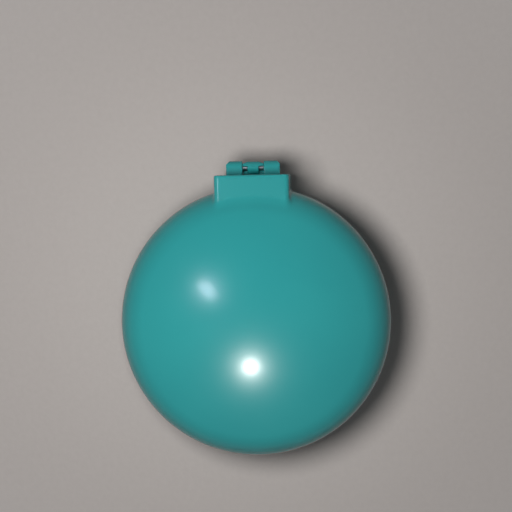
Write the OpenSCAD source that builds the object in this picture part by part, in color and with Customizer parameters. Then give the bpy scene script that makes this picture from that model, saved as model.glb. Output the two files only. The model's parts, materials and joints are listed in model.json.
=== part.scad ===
/* [Case] */
// Diameter of the closed case at the seam
case_d = 66; // [64:0.5:70]
// Height of the mirror half, from its rim to its crown
lid_h = 16.1; // [15.5:0.1:19]
// Height of the brush half, from the resting face to its rim
base_h = 16.2; // [15.8:0.1:18]
// Height that the flat resting face takes off the lower crown
rest_cut = 2.8; // [2.4:0.1:3.4]
// Straight band of wall beside the seam
rim_h = 3; // [2.6:0.1:3.6]
// Radius of the shoulder between the band and the crown
shoulder_r = 9.2; // [8.4:0.1:10]
// Wall of both covers
wall = 1.5; // [1.3:0.1:1.7]
// Gap between the two rims when the case is closed
seam_gap = 0.2; // [0.1:0.05:0.4]
// Width of the thumb notch at the front of the seam
notch_w = 16; // [12:0.5:18]
// Height of the thumb notch in each half
notch_h = 1.3; // [0.8:0.1:1.8]

/* [Hinge tab] */
// Width of the square tab that carries the hinge
tab_w = 18.4; // [17.4:0.1:22]
// How far the tab stands out beyond the round rim
tab_reach = 2.8; // [2:0.1:4]
// Height of the tab above or below the rim
tab_t = 9.3; // [8:0.1:10.5]
// Radius of the rounded edges of the tab
tab_edge_r = 0.8; // [0.4:0.1:1.2]
// Radius of the fillet that runs the tab into the round wall
tab_fillet_r = 1.5; // [1:0.1:3]
// Height of that fillet, from the rim
tab_fillet_h = 5; // [3:0.1:7]

/* [Hinge] */
// Diameter of the two outer knuckles, on the mirror half
knuckle_d = 3.4; // [3.3:0.1:4.4]
// Diameter of the middle knuckle, on the brush half
centre_d = 3.1; // [2.9:0.1:3.2]
// Length of the row of three knuckles
knuckle_row = 13.2; // [12:0.1:15]
// Width of the middle knuckle across its outer lip
centre_w = 4.9; // [4.2:0.1:5.5]
// Width of the neck that carries the middle knuckle
neck_w = 2.8; // [2:0.1:3.2]
// Gap between neighbouring knuckles
knuckle_gap = 0.15; // [0.1:0.05:0.3]
// Chamfer on the outer corners of the row
knuckle_chamfer = 0.8; // [0.3:0.1:1.2]
// Depth of the recess in the lower tab that the outer knuckles turn in
hinge_recess = 1.2; // [0.8:0.1:1.5]
// Diameter of the steel hinge pin
hinge_pin_d = 1.6; // [1.4:0.1:1.8]
// Distance of the pin's ends inside the ends of the row
pin_inset = 0.3; // [0.1:0.1:0.8]
// Radial running clearance of the pin in the outer knuckles
running_fit = 0.05; // [0.03:0.01:0.08]

/* [Frames] */
// Thickness of the flat ring in each half
plate_t = 1.4; // [1.2:0.1:1.6]
// Clearance round the rings inside the covers
frame_fit = 0.15; // [0.1:0.05:0.25]
// Width of the ring round the brush, measured from the case's rim
brush_ring_w = 8.4; // [8:0.1:9]
// Wall of the sleeve that guides the brush
sleeve_wall = 1.2; // [1:0.1:1.4]
// Diameter of the posts that locate each ring in its cover
post_d = 1.6; // [1.2:0.1:2]
// Length of those posts
post_l = 2.5; // [1.5:0.1:3]
// Wall of the hollow bosses that the posts stand in
boss_wall = 0.7; // [0.6:0.1:0.9]
// Width of the catch at the front
catch_w = 7; // [5:0.1:9]
// Thickness of the catch
catch_t = 1.2; // [1:0.1:1.4]
// How far the catch reaches past its own rim
catch_l = 2.7; // [2.4:0.1:3.2]
// Height of the rounded bead on the catch
catch_bead = 0.3; // [0.2:0.05:0.35]
// Clearance of the catch in its slot
catch_fit = 0.35; // [0.3:0.05:0.5]

/* [Mirror] */
// Width of the ring round the mirror, measured from the case's rim
mirror_ring_w = 6.6; // [6.4:0.1:7.4]
// Depth of the mirror's face below the ring
mirror_recess = 1.8; // [1.6:0.1:2.2]
// Thickness of the glass
glass_t = 1.8; // [1.2:0.1:2]
// Ground bevel on the front edge of the glass
glass_bevel = 0.5; // [0.3:0.1:0.8]
// Thickness of the silvering and its paint
silver_t = 0.1; // [0.1:0.05:0.2]
// Thickness of the adhesive foam
tape_t = 0.5; // [0.4:0.1:0.8]
// Distance of the foam's edge inside the edge of the glass
tape_inset = 1.4; // [0.5:0.1:3]
// Clearance round the glass
glass_fit = 0.2; // [0.1:0.05:0.3]
// Wall and floor of the tray that holds the glass
tray_wall = 1.2; // [1:0.1:1.4]

/* [Brush] */
// Clearance of the brush in its sleeve
slide_gap = 0.25; // [0.2:0.05:0.35]
// Clearance between the moving brush and the lower cover
dome_gap = 0.3; // [0.25:0.05:0.5]
// Width of each of the three guide keys
key_w = 4; // [3:0.1:5]
// Thickness of the keys
key_t = 0.8; // [0.6:0.1:1]
// Clearance at the sides of the keys
key_fit = 0.25; // [0.15:0.05:0.4]
// Ring left above the keys, which stops the brush
key_roof = 0.7; // [0.5:0.1:0.8]
// Height of the carrier's edge
carrier_h = 1.9; // [1.8:0.1:2.1]
// Floor of the carrier
carrier_floor = 1.2; // [1:0.1:1.3]
// Wall round the carrier's edge
carrier_wall = 1; // [0.8:0.1:1.3]
// Bevel under the carrier's edge
carrier_bevel = 1.2; // [1:0.1:1.3]
// Thickness of the disc that the pins are moulded on
disc_t = 0.8; // [0.7:0.1:1]
// Thickness of the rubber cushion at its crown
cushion_t = 2.8; // [2.4:0.1:2.9]
// Clearance round the cushion
cushion_fit = 0.15; // [0.1:0.05:0.3]
// Rubber that wraps down round the disc
cushion_skirt = 1.55; // [1.2:0.05:2]

/* [Pins] */
// Rings of pins round the middle one
pin_rings = 3; // [2:1:3]
// Distance of the outermost ring inside the edge of the rubber
pin_edge = 3.7; // [3.4:0.1:6]
// Length of a pin above the rubber
pin_l = 8.4; // [7:0.1:8.6]
// Diameter of a pin at its root
pin_root_d = 1.4; // [1.2:0.1:1.6]
// Diameter of a pin under its tip
pin_stem_d = 0.9; // [0.7:0.05:1.1]
// Diameter of the ball on the tip
pin_ball_d = 1.3; // [1.1:0.05:1.5]
// Lean of the outermost pins
pin_lean = 20; // [0:1:20]
// Clearance of the pins in the rubber
pin_fit = 0.05; // [0.03:0.01:0.1]

/* [Push button] */
// Diameter of the button in the back
button_d = 30; // [26:0.5:31]
// Depth of the button's face inside the resting face
button_recess = 0.4; // [0.3:0.1:0.8]
// Wall of the button
button_wall = 1.2; // [1:0.1:1.4]
// Clearance round the button
button_fit = 0.2; // [0.15:0.05:0.3]
// Depth of the finger dish in the button
dish_depth = 0.5; // [0.2:0.1:0.7]
// Diameter of the finger dish
dish_d = 22; // [16:0.5:24]
// Diameter of the stem that joins the button to the carrier
stem_d = 4.4; // [3:0.1:6]
// Wall of the boss round the stem
stem_wall = 1.6; // [1.2:0.1:2]
// Clearance over the collar that the brush rests on
rest_gap = 0.1; // [0.05:0.05:0.3]

/* [Hidden] */
$fn = 96;
eps = 0.01;
over = 1;
arc_steps = 10;
fillet_bite = 0.04;

// Colours as the case shows them
teal = [0.13, 0.56, 0.57];
black = [0.06, 0.06, 0.065];
steel = [0.72, 0.73, 0.75];

// The case is drawn round its own axis and moved so that its whole outline is centred
case_r = case_d / 2;
tab_y = case_r + tab_reach;
hinge_y = tab_y + knuckle_d / 2;
hinge_z = base_h + seam_gap / 2;
lid_z = base_h + seam_gap;
centre_shift = (hinge_y + knuckle_d / 2 - case_r) / 2;

// Crown of each half
base_crown_h = base_h + rest_cut;
shoulder_x = case_r - shoulder_r;
function crown_r(h) =
    let (rise = h - rim_h)
    (shoulder_x ^ 2 + rise ^ 2 - shoulder_r ^ 2) / (2 * (rise - shoulder_r));

// Rings, sleeve and brush
brush_bore_r = case_r - brush_ring_w;
sleeve_r = brush_bore_r + sleeve_wall;
carrier_r = brush_bore_r - slide_gap;
key_r = sleeve_r - dome_gap;
key_z = inside_z(key_r) + dome_gap;
key_top = key_z + key_t;
key_foot = 0.15;
carrier_z = key_top - carrier_h;
carrier_top = carrier_z + carrier_floor;
cushion_r = carrier_r - carrier_wall - cushion_fit;
disc_r = cushion_r - cushion_skirt - cushion_fit;
disc_top = carrier_top + disc_t;
crown_z = disc_top + cushion_t;
cushion_edge = 0.8;
cushion_rise = crown_z - key_top;
cushion_arc_r = (cushion_r ^ 2 + cushion_rise ^ 2) / (2 * cushion_rise);
brush_travel = base_h - key_roof - key_top - 0.05;
key_angles = [90, 210, 330];
pin_pitch = (cushion_r - pin_edge) / pin_rings;

// Mirror tray
glass_r = case_r - mirror_ring_w;
glass_z = mirror_recess;
silver_z = glass_z + glass_t;
tape_z = silver_z + silver_t;
tray_z = tape_z + tape_t;
tray_r = glass_r + glass_fit;

// Bosses stand halfway between the mirror tray and the covers' wall
boss_r = post_d / 2 + running_fit + boss_wall;
boss_at = (tray_r + tray_wall + case_r - wall) / 2;
boss_angles = [40, 140, 220, 320];

// Catch
catch_y = -(case_r - wall - frame_fit) + 0.8;

// Points along an arc, from one angle to another
function arc(cx, cy, r, from, to, steps = arc_steps) =
    [for (i = [0 : steps]) let (a = from + (to - from) * i / steps) [cx + r * cos(a), cy + r * sin(a)]];

// Half outline of a dome: straight band, round shoulder, shallow crown, flat top where it is cut
function dome_points(r, sr, h, top, below = 0) =
    let (rc = crown_r(h + case_r - r) - (case_r - r),
         zc = h - rc,
         x = r - sr,
         turn = atan2(rim_h - zc, x),
         last = asin(min(1, (top - zc) / rc)))
    concat(
        [[0, -below], [r, -below]],
        arc(x, rim_h, sr, 0, turn),
        [for (p = arc(0, zc, rc, turn, last)) if (p[1] > rim_h + sr * sin(turn) + eps && p[0] > eps) p],
        [[0, top]]);

// Height of the cavity over the lower rim at a radius, and the same as a level above the resting face
function cavity_h(r) =
    let (rc = crown_r(base_crown_h) - wall,
         zc = base_crown_h - wall - rc,
         x = shoulder_x * (crown_r(base_crown_h) - wall) / (crown_r(base_crown_h) - shoulder_r))
    r < x ? zc + sqrt(rc ^ 2 - r ^ 2) : rim_h + sqrt((shoulder_r - wall) ^ 2 - (r - shoulder_x) ^ 2);
function inside_z(r) = base_h - min(cavity_h(r), base_h - wall);

// Moves a shape from the case's axis to the part's own frame
module place() {
    translate([0, -centre_shift, 0]) children();
}

// Both halves are drawn rim down, away from the seam
module in_lid() {
    place() translate([0, 0, lid_z]) children();
}
module in_base() {
    place() translate([0, 0, base_h]) mirror([0, 0, 1]) children();
}

module dome(h, top, inset = 0, below = 0) {
    rotate_extrude() polygon(dome_points(case_r - inset, shoulder_r - inset, h - inset, top, below));
}

// Tab with rounded edges and a fillet into the round wall on each side
module tab_block() {
    w = tab_w / 2;
    e = tab_edge_r;
    intersection() {
        linear_extrude(tab_t) polygon(concat(
            [[w, 0]], arc(w - e, tab_y - e, e, 0, 90), arc(e - w, tab_y - e, e, 90, 180), [[-w, 0]]));
        translate([0, tab_y + over, 0]) rotate([90, 0, 0]) linear_extrude(tab_y + 2 * over) polygon(concat(
            [[w + over, -over], [w, 0]], arc(w - e, tab_t - e, e, 0, 90),
            arc(e - w, tab_t - e, e, 90, 180), [[-w, 0], [-w - over, -over]]));
        translate([-w - over, 0, 0]) rotate([90, 0, 90]) linear_extrude(tab_w + 2 * over) polygon(concat(
            [[0, -over], [tab_y, -over]], arc(tab_y - e, tab_t - e, e, 0, 90), [[0, tab_t]]));
    }
    fx = w + tab_fillet_r;
    fy = sqrt((case_r + tab_fillet_r - fillet_bite) ^ 2 - fx ^ 2);
    k = (case_r - over) / (case_r + tab_fillet_r);
    for (side = [0, 1]) mirror([side, 0, 0]) linear_extrude(tab_fillet_h) difference() {
        polygon([[w - over, fy], [w - over, case_r / 2], [k * fx, k * fy], [fx, fy]]);
        translate([fx, fy]) circle(r = tab_fillet_r);
    }
}

// Outline of a ring with its tongue in the tab
module plate_outline(inset, back) {
    circle(r = case_r - inset);
    translate([inset - tab_w / 2, 0]) square([tab_w - 2 * inset, tab_y - back]);
}

module at_bosses() {
    for (a = boss_angles) rotate([0, 0, a]) translate([boss_at, 0, 0]) children();
}

// Cover of one half without its hinge: shell, tab, bosses and thumb notch
module cover(h, top, back) {
    difference() {
        union() {
            dome(h, top);
            tab_block();
        }
        dome(h, top - wall, wall, over);
        translate([wall - tab_w / 2, 0, -over])
            cube([tab_w - 2 * wall, tab_y - back, tab_t - wall + over]);
        translate([-notch_w, -2 * case_r - sqrt(case_r ^ 2 - (notch_w / 2) ^ 2), -over])
            cube([2 * notch_w, 2 * case_r, notch_h + over]);
    }
    difference() {
        intersection() {
            at_bosses() translate([0, 0, plate_t]) cylinder(r = boss_r, h = h);
            dome(h, top - wall / 2, wall / 2);
        }
        at_bosses() translate([0, 0, plate_t - over]) cylinder(d = post_d + 2 * running_fit, h = post_l + 2 * over);
    }
}

// Flat ring with its tongue and its posts
module plate(bore_r, back) {
    difference() {
        linear_extrude(plate_t) plate_outline(wall + frame_fit, back + frame_fit);
        translate([0, 0, -over]) cylinder(r = bore_r, h = plate_t + 2 * over);
    }
    at_bosses() translate([0, 0, plate_t - eps]) cylinder(d = post_d, h = post_l + eps);
}

// Round bar along the hinge's axis
module hinge_bar(d, w) {
    place() translate([-w / 2, hinge_y, hinge_z]) rotate([0, 90, 0]) cylinder(d = d, h = w);
}

// Outer knuckles with the arms that join them to the upper tab
module outer_knuckles() {
    x = knuckle_row / 2;
    inner = centre_w / 2 + knuckle_gap;
    top = hinge_z + knuckle_d / 2;
    c = knuckle_chamfer;
    difference() {
        union() {
            hinge_bar(knuckle_d, knuckle_row);
            place() translate([-x, tab_y - wall / 2, lid_z]) cube([knuckle_row, knuckle_d / 2 + wall / 2, top - lid_z]);
        }
        place() translate([-inner, 0, 0]) cube([2 * inner, 2 * case_r, 2 * base_h]);
        place() for (side = [0, 1]) mirror([side, 0, 0]) linear_extrude(2 * base_h)
            polygon([[x - c, hinge_y + knuckle_d / 2], [x, hinge_y + knuckle_d / 2 - c],
                     [x + over, hinge_y + knuckle_d / 2 - c], [x + over, hinge_y + knuckle_d], [x - c, hinge_y + knuckle_d]]);
        hinge_bar(hinge_pin_d + 2 * running_fit, knuckle_row + 2 * over);
    }
}

// Middle knuckle: a narrow neck over the pin, a wider lip outside it and a wider saddle below it
module centre_knuckle() {
    lip_y = hinge_y + hinge_pin_d / 4;
    root_y = tab_y - hinge_recess - wall / 2;
    saddle_h = (centre_d - hinge_pin_d) / 2;
    difference() {
        union() {
            hinge_bar(centre_d, neck_w);
            intersection() {
                hinge_bar(centre_d, centre_w);
                place() translate([-centre_w, lip_y, 0]) cube([2 * centre_w, centre_d, 2 * base_h]);
            }
            place() translate([-neck_w / 2, root_y, hinge_z - centre_d / 2])
                cube([neck_w, hinge_y - root_y, (centre_d - seam_gap) / 2]);
            place() translate([-centre_w / 2, root_y, hinge_z - centre_d / 2])
                cube([centre_w, hinge_y - root_y + hinge_pin_d / 4, saddle_h]);
        }
        hinge_bar(hinge_pin_d, centre_w + 2 * over);
    }
}

module base_cover() {
    bore_r = button_d / 2 + button_fit;
    recess_w = knuckle_row + 0.7;
    recess_z = hinge_z - knuckle_d / 2 - 0.5;
    color(teal) union() {
        difference() {
            in_base() cover(base_crown_h, base_h, hinge_recess + 1);
            place() translate([0, 0, -over]) cylinder(r = bore_r, h = wall + 2 * over);
            place() translate([-recess_w / 2, tab_y - hinge_recess, recess_z])
                cube([recess_w, hinge_recess + over, base_h]);
        }
        place() difference() {
            translate([0, 0, wall - eps]) cylinder(r = bore_r + button_wall, h = carrier_z - rest_gap - wall + eps);
            translate([0, 0, -over]) cylinder(r = bore_r, h = base_h);
        }
        centre_knuckle();
    }
}

module lid_cover() {
    color(teal) union() {
        in_lid() cover(lid_h, lid_h, wall);
        outer_knuckles();
    }
}

module base_frame() {
    slot_y = catch_y - catch_fit;
    color(teal) difference() {
        union() {
            in_base() plate(brush_bore_r, hinge_recess + 1);
            place() difference() {
                translate([0, 0, inside_z(sleeve_r) + dome_gap])
                    cylinder(r = sleeve_r, h = base_h - plate_t / 2 - inside_z(sleeve_r) - dome_gap);
                cylinder(r = brush_bore_r, h = base_h + over);
            }
        }
        place() for (a = key_angles) rotate([0, 0, a]) translate([0, -key_w / 2 - key_fit, 0])
            cube([sleeve_r + over, key_w + 2 * key_fit, base_h - key_roof]);
        place() translate([-catch_w / 2 - catch_fit, slot_y, base_h - plate_t - over])
            cube([catch_w + 2 * catch_fit, catch_t + 2 * catch_fit, plate_t + 2 * over]);
    }
}

module lid_frame() {
    color(teal) union() {
        in_lid() {
            difference() {
                union() {
                    plate(tray_r, wall);
                    cylinder(r = tray_r + tray_wall, h = tray_z + tray_wall);
                }
                translate([0, 0, -over]) cylinder(r = tray_r, h = tray_z + over);
            }
            translate([-catch_w / 2, catch_y, -catch_l]) cube([catch_w, catch_t, catch_l + plate_t / 2]);
            translate([-catch_w / 2, catch_y + 2 * catch_bead, -catch_l + 0.6 + 2 * catch_bead])
                rotate([0, 90, 0]) cylinder(r = 3 * catch_bead, h = catch_w);
        }
    }
}

module mirror_glass() {
    color([0.8, 0.88, 0.87, 0.6]) in_lid() translate([0, 0, glass_z]) rotate_extrude() polygon([
        [0, 0],
        [glass_r - glass_bevel, 0],
        [glass_r, glass_bevel / 2],
        [glass_r, glass_t],
        [0, glass_t]
    ]);
}

module mirror_silvering() {
    color([0.78, 0.79, 0.8]) in_lid() translate([0, 0, silver_z]) cylinder(r = glass_r, h = silver_t);
}

module mirror_tape() {
    color(black) in_lid() translate([0, 0, tape_z]) cylinder(r = glass_r - tape_inset, h = tape_t);
}

module hinge_pin() {
    color(steel) hinge_bar(hinge_pin_d, knuckle_row - 2 * pin_inset);
}

module push_button() {
    r = button_d / 2;
    edge = 0.4;
    dish_r = ((dish_d / 2) ^ 2 + dish_depth ^ 2) / (2 * dish_depth);
    floor_z = button_recess + button_wall;
    color(teal) place() rotate_extrude() polygon(concat(
        arc(0, button_recess + dish_depth - dish_r, dish_r, 90, 90 - asin(dish_d / 2 / dish_r), 6),
        [
            [r - edge, button_recess],
            [r, button_recess + edge],
            [r, carrier_z],
            [r - button_wall, carrier_z],
            [r - button_wall, floor_z],
            [stem_d / 2 + stem_wall, floor_z],
            [stem_d / 2 + stem_wall, floor_z + 1],
            [stem_d / 2, floor_z + 1],
            [stem_d / 2, carrier_top],
            [0, carrier_top]
        ]));
}

module brush_carrier() {
    boss_z = button_recess + button_wall + 1;
    color(black) place() {
        rotate_extrude() polygon([
            [stem_d / 2, boss_z],
            [stem_d / 2 + stem_wall, boss_z],
            [stem_d / 2 + stem_wall, carrier_z],
            [carrier_r - carrier_bevel, carrier_z],
            [carrier_r, key_z - key_foot],
            [carrier_r, key_top],
            [carrier_r - carrier_wall, key_top],
            [carrier_r - carrier_wall, carrier_top],
            [stem_d / 2, carrier_top]
        ]);
        for (a = key_angles) rotate([0, 0, a]) intersection() {
            translate([carrier_r - carrier_wall / 2, -key_w / 2, key_z]) cube([2 * sleeve_wall, key_w, key_t]);
            cylinder(r = key_r, h = base_h);
        }
    }
}

// Level of the rubber at a radius
function rubber_z(r) = crown_z - cushion_arc_r + sqrt(cushion_arc_r ^ 2 - r ^ 2);

// Puts a shape at the root of each pin, leaning outward ring by ring
module at_pins() {
    for (ring = [0 : pin_rings])
        for (i = [0 : max(1, 6 * ring) - 1])
            rotate([0, 0, (i + 0.5 * (ring % 2)) * 60 / max(1, ring)])
                translate([ring * pin_pitch, 0, rubber_z(ring * pin_pitch)])
                    rotate([0, pin_lean * ring / pin_rings, 0]) children();
}

module brush_pins() {
    root = cushion_t + disc_t / 2;
    color(black) place() {
        translate([0, 0, carrier_top]) cylinder(r = disc_r, h = disc_t);
        intersection() {
            union() {
                at_pins() {
                    translate([0, 0, -root])
                        cylinder(d1 = pin_root_d, d2 = pin_stem_d, h = root + pin_l - pin_ball_d / 2, $fn = 24);
                    translate([0, 0, pin_l - pin_ball_d / 2]) sphere(d = pin_ball_d, $fn = 24);
                }
            }
            translate([0, 0, disc_top - disc_t / 2]) cylinder(r = case_r, h = 2 * base_h);
        }
    }
}

module brush_cushion() {
    e = cushion_edge;
    x = cushion_r - e;
    turn = asin(x / (cushion_arc_r - e));
    color(black) place() difference() {
        rotate_extrude() polygon(concat(
            [[0, disc_top], [disc_r + cushion_fit, disc_top], [disc_r + cushion_fit, carrier_top], [cushion_r, carrier_top]],
            arc(x, rubber_z(cushion_r) - e / 2, e, 0, 90 - turn, 4),
            arc(0, crown_z - cushion_arc_r, cushion_arc_r, 90 - asin((x - e / 2) / cushion_arc_r), 90, 14)));
        at_pins() translate([0, 0, -2 * cushion_t])
            cylinder(d = pin_root_d + 2 * pin_fit, h = 3 * cushion_t, $fn = 24);
    }
}

base_cover();
base_frame();
hinge_pin();
lid_cover();
lid_frame();
mirror_glass();
mirror_silvering();
mirror_tape();
push_button();
brush_carrier();
brush_pins();
brush_cushion();
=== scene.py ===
# %% [markdown]
# # A compact mirror with a brush that pops up
#
# The case is two shallow domes of glossy teal plastic, closed on each other like a shell. A square
# tab at the back carries a small hinge. One half holds a round mirror and the other a cushioned brush.
# The construction comes in as a fixed frame. This lesson dresses it: each piece that shows is made
# again as a fine surface, in the place where the construction has it, and gets its own finish.

import json

import bpy
import numpy as np
from mathutils import Matrix, Vector


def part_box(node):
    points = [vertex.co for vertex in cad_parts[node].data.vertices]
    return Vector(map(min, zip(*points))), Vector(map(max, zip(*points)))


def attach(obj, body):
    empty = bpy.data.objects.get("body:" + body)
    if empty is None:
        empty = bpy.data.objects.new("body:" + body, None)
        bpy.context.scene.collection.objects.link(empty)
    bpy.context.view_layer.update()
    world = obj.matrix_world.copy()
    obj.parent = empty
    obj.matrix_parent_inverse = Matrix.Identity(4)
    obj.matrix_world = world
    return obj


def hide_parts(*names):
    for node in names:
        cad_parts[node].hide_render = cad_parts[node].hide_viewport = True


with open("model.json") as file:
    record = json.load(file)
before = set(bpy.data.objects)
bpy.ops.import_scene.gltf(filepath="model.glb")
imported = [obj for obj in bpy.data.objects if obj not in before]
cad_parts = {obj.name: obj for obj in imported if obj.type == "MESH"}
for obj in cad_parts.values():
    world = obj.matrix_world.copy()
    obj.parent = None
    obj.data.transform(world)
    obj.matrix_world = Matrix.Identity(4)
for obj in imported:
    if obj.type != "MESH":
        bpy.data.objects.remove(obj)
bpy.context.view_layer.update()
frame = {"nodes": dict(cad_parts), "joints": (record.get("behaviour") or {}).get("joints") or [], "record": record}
nodes = frame["nodes"]
print("nodes:", sorted(nodes))

# %% [markdown]
# ## Sizes
#
# Everything below is worked out in millimetres round the axis of the case, and becomes metres only
# when a mesh is made. What can be read from the frame is read from it, so that the looks follow the
# construction: the axis, the rim, the seam and the hinge. The rest are the sizes of a moulded case.

# %% Sizes read from the frame
MM = 0.001


def box_mm(node):
    """Lowest and highest corner of a node, in millimetres."""
    low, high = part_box(node)
    return np.array(low) / MM, np.array(high) / MM


lid_low, lid_high = box_mm("lid_cover")
glass_low, glass_high = box_mm("mirror_glass")
frame_low, frame_high = box_mm("base_frame")
button_low, button_high = box_mm("push_button")
pin_low, pin_high = box_mm("hinge_pin")
hinge = np.array(frame["joints"][0]["pos_m"]) / MM

axis_y = (glass_low[1] + glass_high[1]) / 2
case_r = (lid_high[0] - lid_low[0]) / 2
base_h = frame_high[2]
seam = hinge[2]
lid_z = 2 * seam - base_h
lid_h = lid_high[2] - lid_z
knuckle_r = lid_high[1] - hinge[1]
hinge_y = hinge[1] - axis_y
tab_y = hinge_y - knuckle_r
print("case radius", round(case_r, 3), "tab to", round(tab_y, 3))
print("base", round(base_h, 3), "high, lid", round(lid_h, 3), "high")

# %% Sizes of the mouldings
rim_h = 3.0
shoulder_r = 9.2
wall = 1.5
rest_cut = 2.8
rim_edge = 0.22
tab_half = 9.0
lid_tab_t = 10.1
base_tab_t = 9.3
tab_edge = 1.15
rear_edge = 0.35
tab_blend = 0.8
notch_w = 16.0
notch_h = 1.3
notch_edge = 0.18
recess_half = 6.95
recess_depth = 1.2
recess_h = 2.1
print("tab", 2 * tab_half, "wide,", lid_tab_t, "thick on the lid and", base_tab_t, "on the base")

# %% [markdown]
# ## Signed distances
#
# A moulded shell is easiest to describe by how far a point lies from its skin: below zero inside,
# above zero outside. Two shapes are joined by the smaller of their distances, and a fillet comes from
# bending that minimum over a radius. The dome is a profile turned round the axis, so its distance
# needs only the radius and the height. The tab is a box: its sides run into its top over a wide soft
# edge, which catches a thin line of light, and both meet its back in a tight one.


# %% Distances of the dome and the tab
def crown_radius(h, r, sr):
    """Radius of the shallow crown that touches the shoulder circle and is h high on the axis."""
    x = r - sr
    rise = h - rim_h
    return (x**2 + rise**2 - sr**2) / (2 * (rise - sr))


def dome_distance(p, h, inset=0.0):
    """Distance to a dome: a straight band, then a shoulder circle, then a crown circle, all tangent."""
    rc = crown_radius(h, case_r, shoulder_r)
    zc = h - rc
    x = case_r - shoulder_r
    turn = np.arctan2(rim_h - zc, x)
    rho = np.hypot(p[..., 0], p[..., 1])
    z = p[..., 2]
    band = rho - case_r
    shoulder = np.hypot(rho - x, z - rim_h) - shoulder_r
    crown = np.hypot(rho, z - zc) - rc
    on_crown = np.arctan2(z - rim_h, rho - x) > turn
    return np.where(z < rim_h, band, np.where(on_crown, crown, shoulder)) + inset


def join(a, b, r):
    """Union of two distances with a fillet of radius r where they meet."""
    ends = np.hypot(np.maximum(r - a, 0), np.maximum(r - b, 0))
    return np.maximum(r, np.minimum(a, b)) - ends


def cut(a, b, r):
    """What a and b share, with the edge between them rounded by r. A cut is shared with its outside."""
    ends = np.hypot(np.maximum(r + a, 0), np.maximum(r + b, 0))
    return np.minimum(-r, np.maximum(a, b)) + ends


def tab_distance(p, half, y, top, edge, rear):
    """Distance to the tab: sides and top share one rounded edge, and both meet the back in another."""
    arch = cut(np.abs(p[..., 0]) - half, p[..., 2] - top, edge)
    return np.maximum(cut(arch, p[..., 1] - y, rear), -p[..., 1])


def cover_distance(p, h, top, tab_t, recess):
    """Outside of one cover, its rim at z = 0: dome and tab, less notch, recess, rim and top."""
    tab = tab_distance(p, tab_half, tab_y, tab_t, tab_edge, rear_edge)
    skin = join(dome_distance(p, h), tab, tab_blend)
    chord = np.sqrt(case_r**2 - (notch_w / 2) ** 2)
    notch = np.maximum(p[..., 1] + chord, p[..., 2] - notch_h)
    skin = cut(skin, -notch, notch_edge)
    if recess:
        pocket = np.maximum(np.abs(p[..., 0]) - recess_half, p[..., 2] - recess_h)
        pocket = np.maximum(pocket, tab_y - recess_depth - p[..., 1])
        skin = cut(skin, -pocket, notch_edge)
    skin = cut(skin, -p[..., 2], rim_edge)
    return cut(skin, p[..., 2] - top, 2 * rim_edge)


def cavity_distance(p, h, top, tab_t, back):
    """Inside of the same cover, a wall further in, with edges that nobody sees."""
    tab = tab_distance(p, tab_half - wall, tab_y - back, tab_t - wall, 0.3, 0.3)
    return cut(join(dome_distance(p, h, wall), tab, 0.5), p[..., 2] - top + wall, 0.1)


# %% [markdown]
# ## From a distance to a mesh
#
# A skin can be found by marching cubes, which leaves an even but shapeless net. Here rays go out from
# inside the shell instead, in the order that the mesh needs: level ones up the band, then a fan about
# a ring inside the shoulder, then upright ones over the crown. Where each ray leaves the solid is one
# point of a regular grid, so the rows run along the rim and crowd where an edge is to be sharp.


# %% Rays and grids
level_back = 6.0
ray_l = 24.0


def steps_between(*stops):
    """Values from stop to stop. Each stop is (value, step up to the next one)."""
    runs = []
    for (start, step), (end, _) in zip(stops[:-1], stops[1:]):
        count = max(1, int(round(abs(end - start) / step)))
        runs.append(np.linspace(start, end, count, endpoint=False))
    return np.concatenate(runs + [[stops[-1][0]]])


def meet(solid, start, direction):
    """Point where each ray leaves the solid: the stretch where the distance changes sign is halved."""
    low = np.zeros(start.shape[:-1])
    high = np.full(start.shape[:-1], ray_l)
    for _ in range(34):
        middle = (low + high) / 2
        inside = solid(start + middle[..., None] * direction) < 0
        low = np.where(inside, middle, low)
        high = np.where(inside, high, middle)
    return start + low[..., None] * direction


def turn_round(rho, z, angles):
    """Grid of points: each row's radius and height, carried to each angle round the axis."""
    rho, z = (value.reshape(len(value), -1) for value in (rho, z))
    return np.stack(np.broadcast_arrays(rho * np.cos(angles), rho * np.sin(angles), z), axis=-1)


def rays_out(levels, fan, pivot, radii, angles):
    """Starts and directions of the three families of rays, one row for each.

    Level rays start some way nearer the axis than the pivot, the fan at the pivot itself, and the
    upright rays at its height. A ray that leans by t points to (cos t, sin t) in radius and height."""
    rho = np.repeat([pivot[0] - level_back, pivot[0]], [len(levels), len(fan)])
    rho = np.concatenate([rho, radii])
    z = np.concatenate([levels, np.full(len(fan) + len(radii), pivot[1])])
    lean = np.radians(np.concatenate([np.zeros(len(levels)), fan, np.full(len(radii), 90.0)]))
    return turn_round(rho, z, angles), turn_round(np.cos(lean), np.sin(lean), angles)


def grid_faces(rows, columns, wrap_rows):
    """Quads of a grid whose columns close on themselves, and whose rows do if wrap_rows is set."""
    index = np.arange(rows * columns).reshape(rows, columns)
    if wrap_rows:
        index = np.vstack([index, index[:1]])
    right = np.roll(index, -1, axis=1)
    return np.stack([index[:-1], right[:-1], right[1:], index[1:]], axis=-1).reshape(-1, 4)


def volume_sign(points, faces):
    """Sign of the volume that the faces enclose, from the triple products of their fans."""
    total = 0.0
    for k in range(1, faces.shape[1] - 1):
        a, b, c = points[faces[:, 0]], points[faces[:, k]], points[faces[:, k + 1]]
        total += np.einsum("ij,ij->i", a, np.cross(b, c)).sum()
    return np.sign(total)


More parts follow.
